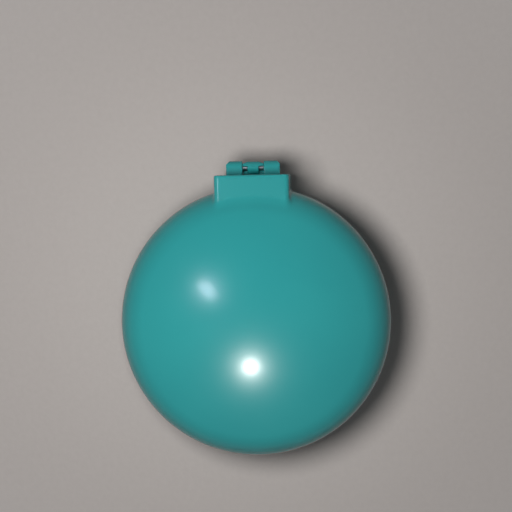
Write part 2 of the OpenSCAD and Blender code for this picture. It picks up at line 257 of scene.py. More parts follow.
def make_mesh(name, parts, sharp=35):
    """One mesh object of closed grids, in millimetres round the axis, with its faces outward.

    Each part is a grid and a flag: poles close it at both ends, or else its rows meet again. Edges
    that turn by more degrees than sharp are shaded hard."""
    points, faces, offset = [], [], 0
    for grid, poles in parts:
        rows, columns = grid.shape[:2]
        flat = grid.reshape(-1, 3)
        quads = grid_faces(rows, columns, not poles)
        tris = np.zeros((0, 3), int)
        if poles:
            first, last = grid[0].mean(axis=0), grid[-1].mean(axis=0)
            around = np.arange(columns)
            nxt = np.roll(around, -1)
            low = np.stack([np.full(columns, len(flat)), nxt, around], axis=-1)
            base = (rows - 1) * columns
            high = np.stack([np.full(columns, len(flat) + 1), base + around, base + nxt], axis=-1)
            flat = np.vstack([flat, first, last])
            tris = np.vstack([low, high])
        if volume_sign(flat, quads) < 0:
            quads, tris = quads[:, ::-1], tris[:, ::-1]
        points.append(flat)
        faces += (quads + offset).tolist() + (tris + offset).tolist()
        offset += len(flat)
    points = np.vstack(points)
    points[:, 1] += axis_y
    mesh = bpy.data.meshes.new(name)
    mesh.from_pydata((points * MM).tolist(), [], faces)
    mesh.shade_smooth()
    if sharp:
        mesh.set_sharp_from_angle(angle=np.radians(sharp))
    piece = bpy.data.objects.new(name, mesh)
    bpy.context.scene.collection.objects.link(piece)
    print(name, len(mesh.vertices), "points,", len(mesh.polygons), "faces")
    return piece


# %% Columns and rows of the covers
def full_turn(*stops):
    """Angles round the axis, alike on both sides of the tab. The stops are degrees from its middle."""
    half = steps_between(*stops)
    return np.radians(90 + np.concatenate([half[:-1], -half[::-1][:-1]]))


round_angles = full_turn((0, 1.2), (10.8, 0.12), (11.8, 0.4), (13.4, 0.15), (14.6, 0.12), (16.6, 0.25),
                         (20, 0.8), (24, 1.9), (154, 1.0), (164, 0.35), (168, 1.2), (180, 1))
levels = steps_between((0.002, 0.03), (0.12, 0.05), (0.3, 0.2), (1.1, 0.06), (1.5, 0.2), (1.95, 0.06),
                       (2.3, 0.2), (3.2, 0.35), (6, 1))[:-1]
fan = steps_between((0, 2), (14, 0.5), (22, 1), (42, 2.4), (90, 1))[:-1]
pivot = np.array([26.0, 6.0])
inner_levels = steps_between((0.002, 1), (5, 1))[:-1]
inner_fan = steps_between((0, 3), (15, 2), (45, 5), (90, 1))[:-1]
inner_pivot = pivot - [2.0, 1.0]
outer_rays = (levels, fan, pivot)
inner_rays = (inner_levels, inner_fan, inner_pivot)
print(len(round_angles), "columns,", len(levels), "level rows and", len(fan), "rows in the fan")

# %% [markdown]
# ## Cover of the mirror half
#
# On the real case this is one moulding: the dome, the square tab with its soft edges, and the thumb
# notch at the front. A revolved dome with a box stuck on would show a hard line where they meet. The
# joined distance gives the soft crease that the light picks out behind the dome. The inside is the
# same shape a wall further in, and the two grids are stacked into one closed skin.


# %% Cover of the mirror half
def skin_rows(rays, radii, distance, *sizes):
    """Rows of one skin of a cover, from the rim to the crown, where the rays leave the solid."""
    start, direction = rays_out(*rays, radii, round_angles)
    return meet(lambda p: distance(p, *sizes), start, direction)


def on_lid(grid):
    """Local grid, rim at z = 0, to the upper half."""
    return grid + [0, 0, lid_z]


def on_base(grid):
    """Local grid to the lower half, turned over so that its rim looks up."""
    return grid * [1, 1, -1] + [0, 0, base_h]


crown_rows = steps_between((pivot[0], 1.1), (0.4, 1))
inner_rows = steps_between((inner_pivot[0], 2.4), (1.0, 1))
outside = skin_rows(outer_rays, crown_rows, cover_distance, lid_h, lid_h + 1, lid_tab_t, False)
inside = skin_rows(inner_rays, inner_rows, cavity_distance, lid_h, lid_h + wall + 1, lid_tab_t, wall)
lid_shell = make_mesh("lid_shell", [(on_lid(np.vstack([inside[::-1], outside])), True)], None)

# %% [markdown]
# ## Cover of the brush half
#
# The lower half is the same dome turned over, with its crown cut flat so that the case lies still on a
# table. A round bore in that flat face lets the push button through, and a short collar stands round
# the bore inside. A boolean cut could open the bore, but it leaves slivers along the edge. Here the
# section is closed instead: out over the dome, over the flat ring, down the bore, round the collar and
# back along the inside of the wall.

# %% Cover of the brush half
bore_r = (button_high[0] - button_low[0]) / 2 + 0.2
bore_edge = 0.3
collar_wall = 1.2
collar_top = 4.373
collar_end = base_h - collar_top
crown_h = base_h + rest_cut
ring_rows = steps_between((pivot[0], 1.0), (19.2, 0.3), (16.4, 0.3), (bore_r + 0.35, 1))
inner_rows = steps_between((inner_pivot[0], 1.5), (bore_r + 1.3, 1))
tongue_back = recess_depth + 1
outside = skin_rows(outer_rays, ring_rows, cover_distance, crown_h, base_h, base_tab_t, True)
inside = skin_rows(inner_rays, inner_rows, cavity_distance, crown_h, base_h, base_tab_t, tongue_back)
corner = np.radians(steps_between((75, 15), (0, 1)))
bore_rho = np.concatenate([bore_r + bore_edge * (1 - np.cos(corner)), [bore_r, bore_r + collar_wall]])
bore_z = np.concatenate([base_h - bore_edge * (1 - np.sin(corner)), [collar_end, collar_end]])
bore = turn_round(bore_rho, bore_z, round_angles)
skin = np.vstack([outside, bore, inside[::-1]])
base_shell = make_mesh("base_shell", [(on_base(skin), False)], None)

# %% [markdown]
# ## Knuckles of the hinge
#
# Each knuckle is a ring round the steel pin, moulded on an arm of its half. A cylinder joined to a
# block and drilled would do for the eye, but its edges stay sharp. A grid that is closed both ways
# suits it better: the outline of the knuckle is carried along the pin, over the end, back through the
# bore and out again. Near its ends the outline draws in by a small radius, which rounds the edge. The
# outer corners of the row and both corners of the middle lip end in slanted faces, as the photograph
# shows: points behind a sloping limit are brought forward to it, from rows set close for that.

# %% Knuckles of the hinge
row_half = 6.6
knuckle_edge = 0.25
knuckle_chamfer = 0.8
lip_chamfer = 1.2
lip_half = 2.55
neck_half = 1.4
neck_r = 1.55
knuckle_gap = 0.05
lip_slope = 0.45
pin_r = (pin_high[2] - pin_low[2]) / 2
quarter = np.radians([0, 22, 45, 67, 90])


def arm_outline(r, level, reach, side):
    """Outline about the pin: most of a circle, then a block from the level to the circle's tangent."""
    last = 270 + np.degrees(np.arcsin(level / r))
    turn = np.radians(90 - np.linspace(0, last, 72))
    tip = np.stack([np.cos(turn), np.sin(turn)], axis=-1) * r
    under = np.linspace(tip[-1], [-reach, level], 9)[1:]
    over = np.linspace([-reach, r], [0, r], 13)[:-1]
    return np.concatenate([tip, under, over]) * [1, side]


def knuckle(outline, half_width, bore, chamfer, start=None):
    """Grid closed both ways: outline along x, end face, bore, end face.

    The half width depends on the place in the outline, so the ends may be stepped. Near an end the
    outline draws in along a quarter circle, and the rows crowd over the chamfer beside it."""
    inward = outline / np.linalg.norm(outline, axis=1, keepdims=True)
    ring = inward * bore
    draw = knuckle_edge * (1 - np.sin(quarter))
    along = knuckle_edge * (1 - np.cos(quarter))

    def low(p):
        """Where the near end lies: as far out as the other end, or at the start."""
        return -half_width(p) if start is None else start + 0 * p[:, 0]

    def row(x, p):
        """Points of the section at their places along the pin."""
        return np.column_stack([x, p])

    skins = [outline - inward * inset for inset in draw]
    near = [row(low(skin) + back, skin) for skin, back in zip(skins, along)]
    steps = [chamfer * share for share in (0.5, 0.75, 1.0, 1.12)]
    middle = [row(low(outline) + step, outline) for step in steps]
    middle += [row(half_width(outline) - step, outline) for step in steps[::-1]]
    far = [row(half_width(skin) - back, skin) for skin, back in zip(skins[::-1], along[::-1])]
    face = [skins[0] + (ring - skins[0]) * share for share in np.linspace(0.06, 1, 16)]
    far_face = [row(half_width(p), p) for p in face]
    near_face = [row(low(p), p) for p in face[::-1]]
    return np.array(near + middle + far + far_face + near_face)


def at_hinge(grid, side=1):
    """Grid about the pin to its place on the hinge's axis, on one side of the middle."""
    return grid * [side, 1, 1] + [0, hinge_y, seam]


def straight_half(p):
    """Half width of the whole row, the same all round the outline."""
    return row_half + 0 * p[:, 0]


outline = arm_outline(knuckle_r, lid_z - seam, hinge_y - tab_y + wall / 2, 1)
running_bore = pin_r + knuckle_gap
grid = knuckle(outline, straight_half, running_bore, knuckle_chamfer, lip_half + knuckle_gap)
slant = knuckle_r - np.maximum(0, grid[..., 0] - row_half + knuckle_chamfer)
grid[..., 1] = np.minimum(grid[..., 1], slant)
pair = [(at_hinge(grid, side), False) for side in (1, -1)]
outer_knuckles = make_mesh("outer_knuckles", pair)


def stepped_half(p):
    """Half width of the middle knuckle: wide in the lip outside the pin and in the saddle under it."""
    wide = (p[:, 0] > pin_r / 2) | (p[:, 1] < -pin_r)
    return np.where(wide, lip_half, neck_half)


outline = arm_outline(neck_r, seam - base_h, hinge_y - tab_y + recess_depth + wall / 2, -1)
grid = knuckle(outline, stepped_half, pin_r, lip_chamfer)
slant = neck_r - lip_slope * np.maximum(0, np.abs(grid[..., 0]) - lip_half + lip_chamfer)
grid[..., 1] = np.minimum(grid[..., 1], slant)
middle_knuckle = make_mesh("middle_knuckle", [(at_hinge(grid), False)])

# %% [markdown]
# ## Turned pieces
#
# The steel pin, the glass, its silvering, the foam, the button and the carrier are all bodies of
# revolution. The Screw modifier could turn them, but it leaves the axis open or pinched, so they are
# grids too, closed by poles. Each is a profile of a few corners. Real moulded and ground corners are
# never sharp, so every corner is replaced by a small arc that touches both sides before it is turned.


# %% Profiles with soft corners
def soften(corners, radii, steps=4):
    """Polyline whose inner corners are arcs: each arc touches both sides at r / tan(half the angle)."""
    corners = np.asarray(corners, float)
    path = [corners[:1]]
    for before, corner, after, r in zip(corners[:-2], corners[1:-1], corners[2:], radii):
        to = (before - corner) / np.linalg.norm(before - corner)
        away = (after - corner) / np.linalg.norm(after - corner)
        half = np.arccos(np.clip(to @ away, -1, 1)) / 2
        if r == 0:
            path.append(corner[None])
            continue
        middle = corner + (to + away) / np.linalg.norm(to + away) * r / np.sin(half)
        first = corner + to * r / np.tan(half) - middle
        last = corner + away * r / np.tan(half) - middle
        sweep = np.pi - 2 * half
        share = np.linspace(0, sweep, steps + 1)[:, None]
        path.append(middle + (first * np.sin(sweep - share) + last * np.sin(share)) / np.sin(sweep))
    return np.concatenate(path + [corners[-1:]])


def turned(path, columns=192):
    """Grid of a profile turned round the axis. A path that starts and ends on the axis gets poles."""
    return turn_round(path[:, 0], path[:, 1], np.linspace(0, 2 * np.pi, columns, endpoint=False))


def disc(r, low, high, edge):
    """Closed profile of a flat disc with soft edges, from just beside the axis and back to it."""
    return soften([(0.05, low), (r, low), (r, high), (0.05, high)], [edge, edge])


# %% Hinge pin
pin_half = (pin_high[0] - pin_low[0]) / 2
pin_bevel = 0.15
face_r, face_x = pin_r - pin_bevel, pin_half - pin_bevel
path = soften([(0.02, -pin_half), (face_r, -pin_half), (pin_r, -face_x), (pin_r, face_x),
               (face_r, pin_half), (0.02, pin_half)], [0.05] * 4)
grid = turned(path, 48)[..., [2, 0, 1]]
steel_pin = make_mesh("steel_pin", [(at_hinge(grid), True)])

# %% [markdown]
# ## Mirror
#
# A mirror is a clear plate with a ground bevel, a film of silver behind it and foam that holds it in
# its tray. Keeping the glass and the silver apart gives the faint second edge that a real mirror has,
# so both are made, with a hair of air between them to keep their faces from lying in each other.

# %% Mirror
air = 0.015
glass_r = (glass_high[0] - glass_low[0]) / 2
glass_z = 1.8
glass_t = 1.8
glass_bevel = 0.5
glass_back = glass_z + glass_t
film_back = glass_back + 0.1
foam_back = glass_back + 0.6
foam_r = glass_r - 1.4
path = soften([(0.05, glass_z), (glass_r - glass_bevel, glass_z), (glass_r, glass_z + glass_bevel / 2),
               (glass_r, glass_back - air), (0.05, glass_back - air)], [0.04, 0.04, 0.04])
glass_plate = make_mesh("glass_plate", [(on_lid(turned(path)), True)], 12)
path = disc(glass_r, glass_back, film_back, 0.03)
silver_film = make_mesh("silver_film", [(on_lid(turned(path)), True)])
path = disc(foam_r, film_back, foam_back, 0.12)
foam_disc = make_mesh("foam_disc", [(on_lid(turned(path)), True)])

# %% [markdown]
# ## Ring and tray of the mirror half
#
# One moulding closes the mirror half: a flat ring, a tongue that runs into the tab, and a round tray
# that the glass lies in. A turned dish joined with a plate would need a boolean and a bevel over it.
# Its section is turned round the axis in one go instead. The outer edge follows an outline that is a
# circle with a square tongue, so each row near that edge takes its radius from the outline.


# %% Outline of the rings
ring_angles = full_turn((0, 1.6), (4.9, 0.12), (5.6, 1.6), (12, 0.15), (15, 1.8), (114.4, 0.12),
                        (115.1, 1.6), (124.9, 0.12), (125.6, 1.8), (172.3, 0.12), (173.1, 1.2),
                        (180, 1))


def tongue_outline(r, half, y):
    """Radius, at each angle, of a circle joined with a square tongue of a half width that ends at y."""
    across = half / np.maximum(np.abs(np.cos(ring_angles)), 0.001)
    along = y / np.maximum(np.sin(ring_angles), 0.001)
    return np.maximum(r, np.where(np.sin(ring_angles) > 0.5, np.minimum(across, along), 0))


def ring_grid(front, rim, back, outline):
    """Grid of a ring: the rows of its rim count their radius inward from the outline."""
    rows = np.vstack([front, rim, back])
    at_rim = np.repeat([0, 1, 0], [len(front), len(rim), len(back)])[:, None]
    rho = np.where(at_rim, outline - rows[:, :1], rows[:, :1])
    return turn_round(rho, rows[:, 1], ring_angles)


# %% Ring and tray of the mirror half
frame_fit = 0.15
plate_t = 1.4
edge = 0.2
tray_r = glass_r + 0.2
tray_floor = foam_back
tray_wall = 1.2
tray_out = tray_r + tray_wall
tray_back = tray_floor + tray_wall
ring_in = wall + frame_fit
outline = tongue_outline(case_r - ring_in, tab_half - ring_in, tab_y - ring_in)
tray = soften([(0.05, tray_floor), (tray_r, tray_floor), (tray_r, 0), (tray_r + 2, 0)], [0.3, 0.35])
outer = soften([(2, 0), (0, 0), (0, plate_t), (2, plate_t)], [edge, edge])
back = soften([(tray_out + 0.3, plate_t), (tray_out, plate_t), (tray_out, tray_back),
               (0.05, tray_back)], [0.1, 0.4])
mirror_ring = make_mesh("mirror_ring", [(on_lid(ring_grid(tray, outer, back, outline)), True)])

# %% [markdown]
# ## Catch
#
# A short blade with a rounded bead stands at the front of the mirror's ring and snaps into a slot of
# the other ring. A bevelled box would lack the bead that holds the case shut, so the blade's own
# outline is carried across, with its ends drawn in to soften them.


# %% Catch
def carried(outline, half, edge):
    """Closed grid: an outline in y and z carried along x, its ends drawn in along a quarter circle."""
    near = edge * (1 - np.cos(quarter)) - half
    x = np.concatenate([near, -near[::-1]])
    draw = edge * (1 - np.sin(np.concatenate([quarter, quarter[::-1]])))
    middle = outline.mean(axis=0)
    inward = (outline - middle) / np.abs(outline - middle).max()
    skin = outline[None] - inward[None] * draw[:, None, None]
    return np.concatenate([np.repeat(x[:, None, None], len(outline), axis=1), skin], axis=-1)


catch_half = 3.5
catch_t = 1.2
catch_l = 2.7
catch_root = 2.0
bead_r = 0.9
bead_up = 1.2
catch_y = ring_in - case_r + 0.8
bead_y = catch_y + catch_t / 2
bead_z = -catch_l + bead_up
bead = np.arccos(catch_t / 2 / bead_r)
bulge = np.linspace(-bead, bead, 12)
side = np.stack([np.cos(bulge), np.sin(bulge)], axis=-1) * bead_r
half_t = catch_t / 2
tip = soften([(half_t, -1.0), (half_t, -bead_up), (-half_t, -bead_up), (-half_t, -1.0)], [0.3, 0.3])
root = np.array([(-half_t, catch_root), (half_t, catch_root)])
outline = np.concatenate([tip[::-1], side, root[::-1], (side * [-1, 1])[::-1]]) + [bead_y, bead_z]
catch = make_mesh("catch", [(on_lid(carried(outline, catch_half, 0.25)), True)])

# %% [markdown]
# ## Ring and sleeve of the brush half
#
# The other ring has no tray but an open sleeve that guides the brush. Three grooves in the sleeve take
# the carrier's keys and end below the ring's face, which stops the brush from coming out. A slot in
# the ring takes the catch. Grooves and slot are not cut: the grid's own points step aside there, from
# one close row or column to the next, which keeps the net whole and the walls upright. It has a cost:
# the slot is open in the construction, but here it keeps a thin floor that the closed catch goes through.

# %% Ring and sleeve of the brush half
sleeve_wall = 1.2
brush_bore = case_r - 8.4
sleeve_depth = base_h - frame_low[2]
key_half = 5.25
key_roof = 0.7
groove = 1.0
slot_half = 7.35
slot_near, slot_far = 29.0, 30.9
slot_depth = 1.3
step = 0.02
end_row = 0.3
tongue_y = tab_y - tongue_back - frame_fit
outline = tongue_outline(case_r - ring_in, tab_half - ring_in, tongue_y)
bore = soften([(brush_bore, sleeve_depth), (brush_bore, 0), (slot_near - step, 0)], [0.35])
roof = [(brush_bore, key_roof + step), (brush_bore, key_roof - step)]
bore = np.vstack([bore[:1], roof, bore[1:]])
face = [(slot_near + step, 0), (slot_far - step, 0), (slot_far + step, 0)]
outer = soften([(0.3, 0), (0, 0), (0, plate_t), (2, plate_t)], [edge, edge])
sleeve_r = brush_bore + sleeve_wall
sleeve = soften([(sleeve_r + 0.5, plate_t), (sleeve_r, plate_t), (sleeve_r, sleeve_depth),
                 (brush_bore + end_row, sleeve_depth)], [0.1, 0.15])
grid = ring_grid(np.vstack([bore, face]), outer, sleeve, outline)
rho = np.hypot(grid[..., 0], grid[..., 1])
turn = (np.degrees(ring_angles) - 90 + 360) % 360
at_key = np.any([np.abs((turn - key + 180) % 360 - 180) < key_half for key in (0, 120, 240)], axis=0)
in_groove = at_key[None] & (rho < brush_bore + end_row + step / 2) & (grid[..., 2] > key_roof)
moved = brush_bore + groove + 0.1 * (rho - brush_bore)
grid[..., :2] *= np.where(in_groove, moved / rho, 1)[..., None]
at_slot = np.abs(turn - 180) < slot_half
in_slot = at_slot[None] & (rho > slot_near) & (rho < slot_far) & (grid[..., 2] < 0.1)
grid[..., 2] = np.where(in_slot, slot_depth, grid[..., 2])
brush_ring = make_mesh("brush_ring", [(on_base(grid), False)])

# %% [markdown]
# ## Push button
#
# The button closes the bore in the resting face. Its face lies a little inside that face, so that the
# case doesn't stand on it, and has a shallow dish for the finger. A stem joins it to the carrier. A
# plain disc would show no dish, so the whole section, dish, skirt, floor and stem, is one profile.

# %% Push button
carrier_high = box_mm("brush_carrier")[1]
cushion_low, cushion_high = box_mm("brush_cushion")
button_r = (button_high[0] - button_low[0]) / 2
face_z = button_low[2]
dish_r, dish_depth = 11.0, 0.5
dish_arc = (dish_r**2 + dish_depth**2) / (2 * dish_depth)
rho = np.linspace(0.05, dish_r - 0.8, 16)
dish = np.column_stack([rho, face_z + dish_depth - dish_arc + np.sqrt(dish_arc**2 - rho**2)])
carrier_z = collar_top + 0.1
button_wall = 1.2
skirt_r = button_r - button_wall
floor_z = face_z + button_wall
boss_r, boss_z = 3.8, floor_z + 1
shaft_r, shaft_z = 2.2, button_high[2]
shell = soften([dish[-1], (dish_r, face_z), (button_r, face_z), (button_r, carrier_z),
                (skirt_r, carrier_z), (skirt_r, floor_z), (boss_r, floor_z), (boss_r, boss_z),
                (shaft_r, boss_z), (shaft_r, shaft_z), (0.05, shaft_z)],
               [1.5, 0.5, 0.2, 0.2, 0.4, 0.3, 0.2, 0.1, 0.2], 6)
push_button = make_mesh("push_button_shell", [(turned(np.vstack([dish[:-1], shell])), True)])

# %% [markdown]
# ## Carrier
#
# A shallow black dish that the rubber and the pins sit in. Three keys stand out from its edge into the
# grooves of the sleeve. The dish is turned. Bevelled cubes would do for the keys, but a ball's grid
# pulled apart into the corners of a box has the ball's radius at every corner without a modifier.


# %% Carrier
def soft_block(low, high, r):
    """Closed grid of a block: each point of a ball moves out to the corner that its direction picks."""
    low, high = np.array(low, float), np.array(high, float)
    across = np.radians(np.concatenate([start + np.linspace(1, 89, 5) for start in (0, 90, 180, 270)]))
    up = np.radians(np.concatenate([np.linspace(-89, -1, 5), np.linspace(1, 89, 5)]))
    ball = turn_round(np.cos(up), np.sin(up), across)
    return np.where(ball > 0, high - r, low + r) + r * ball


def spun(grid, degrees):
    """Grid turned round the case's axis."""
    c, s = np.cos(np.radians(degrees)), np.sin(np.radians(degrees))
    return grid @ np.array([[c, s, 0], [-s, c, 0], [0, 0, 1]])


cushion_r = (cushion_high[0] - cushion_low[0]) / 2
carrier_r = brush_bore - 0.25
carrier_top = cushion_low[2]
carrier_bevel = 1.2
carrier_band = 0.95
key_top = carrier_high[2]
key_t, key_w, key_edge = 0.8, 4.0, 0.18
key_in, key_out = carrier_r - 0.5, carrier_r + 1.1
dish_wall = carrier_r - 1.0
socket_r, socket_z = 2.25, 2.6
path = soften([(socket_r, carrier_top), (socket_r, socket_z), (boss_r, socket_z), (boss_r, carrier_z),
               (carrier_r - carrier_bevel, carrier_z), (carrier_r, key_top - carrier_band),
               (carrier_r, key_top), (dish_wall, key_top), (dish_wall, carrier_top),
               (socket_r + 0.15, carrier_top)], [0.1, 0.2, 0.3, 0.3, 0.3, 0.25, 0.2, 0.1])
block = soft_block((key_in, -key_w / 2, key_top - key_t), (key_out, key_w / 2, key_top), key_edge)
keys = [(spun(block, 90 + 120 * i), True) for i in range(3)]
carrier = make_mesh("carrier_dish", [(turned(path), False)] + keys)

# %% [markdown]
# ## Pins
#
# One pin stands in the middle and three rings of them round it, each ring leaning out a little more.
# A pin is moulded nylon: a taper with a ball on its tip, so that it doesn't scratch. Instances on
# points would repeat a pin too, but they have to be made real for the export. Here one profile is
# turned, leant outward as its ring needs, and carried round the axis to each place of that ring.

# %% Pins
pin_rings = 3
pin_edge = 3.7
pin_pitch = (cushion_r - pin_edge) / pin_rings
pin_l, ball_r = 8.4, 0.65
root_r, stem_r = 0.7, 0.45
root_depth = 3.2
outer_lean = 20
crown_z = cushion_high[2]
rise = crown_z - key_top
arc_r = (cushion_r**2 + rise**2) / (2 * rise)


def crown_height(rho):
    """Level of the rubber: a flat circle over the cushion's edge, at its highest on the axis."""
    return crown_z - arc_r + np.sqrt(arc_r**2 - np.asarray(rho) ** 2)


ball_z = pin_l - ball_r
tip_rows = ball_z - ball_r * np.cos(np.linspace(0.72, 3.0, 14))
along = np.concatenate([[-2.4, -0.4, 0.3, 2, 4, 6, 6.7, 7.0], tip_rows])
stem = root_r + (stem_r - root_r) * np.clip((along + root_depth) / (pin_l + root_depth), 0, 1)
ball = np.sqrt(np.maximum(ball_r**2 - (along - ball_z) ** 2, 0))
radius = np.where(along < ball_z, np.maximum(stem, ball), ball)
pin = turned(np.column_stack([radius, along]), 14)
pins, roots = [], []
for ring in range(pin_rings + 1):
    root = np.array([ring * pin_pitch, 0, crown_height(ring * pin_pitch)])
    leaning = spun(pin[..., [2, 0, 1]], outer_lean * ring / pin_rings)[..., [1, 2, 0]] + root
    count = max(1, 6 * ring)
    for turn in (np.arange(count) + 0.5 * (ring % 2)) * 360 / count:
        pins.append((spun(leaning, turn), True))
        roots.append(spun(root, turn))
pin_disc = turned(disc(cushion_r - 1.7, carrier_top + 0.02, carrier_top + 0.8, 0.15))
brush_pins = make_mesh("nylon_pins", pins + [(pin_disc, True)], None)

# %% [markdown]
# ## Rubber cushion
#
# The pins come out of a thin black rubber dome that lets them give. It is moulded, not sewn, so it has
# no seams, and nothing crumples: its shape is the crown it was moulded with, a soft shoulder that
# tucks into the carrier, and a small raised collar round every pin, where the rubber grips it. That
# is a height over the plane, so it is worked out on a polar grid and needs no cloth simulation.


# %% Rubber cushion
def ease(t):
    """Smooth step from 0 to 1, level at both ends."""
    t = np.clip(t, 0, 1)
    return t * t * (3 - 2 * t)


collar_r, hole_r = 1.75, 0.82
collar_h, hole_depth = 0.34, 0.5
collar_slope, hole_slope = 0.75, 0.18
shoulder = 0.9
top_rho = np.linspace(0.05, cushion_r - shoulder, 96)
edge_turn = np.radians(np.linspace(84, 0, 8))
edge_rho = cushion_r - shoulder + shoulder * np.cos(edge_turn)
edge_z = crown_height(cushion_r - shoulder) - shoulder + shoulder * np.sin(edge_turn)
top = np.column_stack([top_rho, crown_height(top_rho)])
under = [(cushion_r, carrier_top + 0.3), (cushion_r - 1.0, carrier_top), (0.05, carrier_top)]
rubber = turned(np.vstack([top, np.column_stack([edge_rho, edge_z]), under]), 480)
reach = np.full(rubber.shape[:2], np.inf)
for root in roots:
    reach = np.minimum(reach, np.hypot(rubber[..., 0] - root[0], rubber[..., 1] - root[1]))
collars = collar_h * ease((collar_r - reach) / collar_slope)
collars -= hole_depth * ease((hole_r - reach) / hole_slope)
rubber[: len(top_rho), :, 2] += collars[: len(top_rho)]
cushion = make_mesh("rubber_cushion", [(rubber, True)], None)

# %% [markdown]
# ## Camera
#
# The photograph was taken from above, a little to the right and towards the hinge. The camera's place
# was worked out from the corners of the tab and the edge of the dome, and its lens from how much the
# card narrows away from the middle.

# %% Camera
aim = Vector((0.20, 15.77 + axis_y, seam)) * MM
offset = Vector((16.55, 21.03, 298.43)) * MM
roll = np.radians(-1.23)
view_angle = np.radians(23.8)
camera_data = bpy.data.cameras.new("camera")
camera_data.sensor_width = 36.0
camera_data.lens = camera_data.sensor_width / 2 / np.tan(view_angle / 2)
camera_data.clip_start = 0.01
camera = bpy.data.objects.new("camera", camera_data)
backward = offset.normalized()
level = Vector((0, 1, 0)).cross(backward).normalized()
right = level * np.cos(roll) + backward.cross(level) * np.sin(roll)
facing = Matrix((right, backward.cross(right), backward)).transposed()
camera.matrix_world = Matrix.Translation(aim + offset) @ facing.to_4x4()
bpy.context.scene.collection.objects.link(camera)
bpy.context.scene.camera = camera
print("lens", round(camera_data.lens, 2), "mm,", round(offset.length / MM), "mm from the case")

# %% [markdown]
# ## Shader nodes in a few lines
#
# A material is a small network. A few helpers keep it readable: one fills or links the inputs of a
# node, one adds a node, and the others add the kinds that come up often. A node group is a network
# with named inputs and outputs of its own, which several materials use with different values.


# %% Helpers for nodes
def fill(tree, node, values):
    """Give each named input its value, or a link to it where the value is another node's output."""
    for key, value in values.items():
        if isinstance(value, bpy.types.NodeSocket):
            tree.links.new(value, node.inputs[key])
        else:
            node.inputs[key].default_value = value


def add(tree, kind, values=None, **settings):
    """Add a node, apply its settings and fill its inputs."""
    node = tree.nodes.new(kind)
    for key, value in settings.items():
        setattr(node, key, value)
    fill(tree, node, values or {})
    return node


def mixed(tree, share, low, high):
    """Colour between low and high by a share. A Mix node keeps its colour sockets at 6 and 7."""
    return add(tree, "ShaderNodeMix", {0: share, 6: low, 7: high}, data_type="RGBA").outputs[2]


def ranged(tree, value, start, end, low=0.0, high=1.0):
    """Value carried smoothly from the stretch between start and end to the one between low and high."""
    stretch = {"Value": value, "From Min": start, "From Max": end, "To Min": low, "To Max": high}
    return add(tree, "ShaderNodeMapRange", stretch, interpolation_type="SMOOTHSTEP").outputs[0]


def worked(tree, operation, *values):
    """Result of one sum, product or comparison."""
    return add(tree, "ShaderNodeMath", dict(enumerate(values)), operation=operation).outputs[0]


def own_place(tree):
    """The piece's own coordinates in metres, which move with it."""
    return add(tree, "ShaderNodeTexCoord").outputs["Object"]


def clouds(tree, scale, detail=2.0, distortion=0.0, place=None):
    """Soft random clouds over the piece's own coordinates, about one to each 1 / scale metres."""
    values = {"Vector": place or own_place(tree), "Scale": scale, "Detail": detail,
              "Distortion": distortion}
    return add(tree, "ShaderNodeTexNoise", values).outputs[0]


def cells(tree, scale):
    """Cell noise over the piece's own coordinates. Gives its outputs."""
    return add(tree, "ShaderNodeTexVoronoi", {"Vector": own_place(tree), "Scale": scale}).outputs


def bumped(tree, height, strength, distance):
    """Normal of a surface with a fine bump."""
    values = {"Height": height, "Strength": strength, "Distance": distance}
    return add(tree, "ShaderNodeBump", values).outputs["Normal"]


def node_group(name, inputs, outputs):
    """Empty group with what comes in and its last node. Inputs and outputs name the socket's kind."""
    tree = bpy.data.node_groups.new(name, "ShaderNodeTree")
    for way, sockets in (("INPUT", inputs), ("OUTPUT", outputs)):
        for label, kind in sockets.items():
            tree.interface.new_socket(name=label, in_out=way, socket_type="NodeSocket" + kind)
    return tree, tree.nodes.new("NodeGroupInput").outputs, tree.nodes.new("NodeGroupOutput")


def placed(tree, group, values):
    """A group in a material, with the material's own values. Gives its outputs."""
    return add(tree, "ShaderNodeGroup", values, node_tree=group).outputs


# %% [markdown]
# ## The skin of moulded plastic
#
# Smooth plastic isn't even when it is looked at closely. The resin flows into the mould in slightly
# lighter and darker clouds, the polished steel leaves a faint waviness, the surface has a very fine
# grain, and handling leaves patches that are a little duller. All of that is the same effect at
# different strengths on the shells, the rings, the button, the carrier and the pins, so it is a group.

# %% Moulded skin
skin_inputs = {"Colour": "Color", "Clouded": "Color", "Roughness": "Float", "Dulled": "Float",
               "Grain": "Float"}
skin_outputs = {"Colour": "Color", "Roughness": "Float", "Height": "Float"}
moulded_skin, given, result = node_group("moulded_skin", skin_inputs, skin_outputs)
flow = ranged(moulded_skin, clouds(moulded_skin, 42, 3), 0.36, 0.64)
patches = ranged(moulded_skin, clouds(moulded_skin, 95, 3, 0.3), 0.42, 0.8)
waves = clouds(moulded_skin, 260, 1)
grain = clouds(moulded_skin, given["Grain"], 2)
colour = mixed(moulded_skin, flow, given["Colour"], given["Clouded"])
roughness = worked(moulded_skin, "MULTIPLY_ADD", patches, given["Dulled"], given["Roughness"])
height = worked(moulded_skin, "MULTIPLY_ADD", grain, 0.25, waves)
fill(moulded_skin, result, {"Colour": colour, "Roughness": roughness, "Height": height})
print("moulded_skin has", len(moulded_skin.nodes), "nodes")

# %% [markdown]
# ## Dust
#
# A few specks of dust lie on anything that has been on a shelf. Cell noise gives one point to each
# cell. A speck shows near the point, and only in the few cells whose random colour passes a limit.

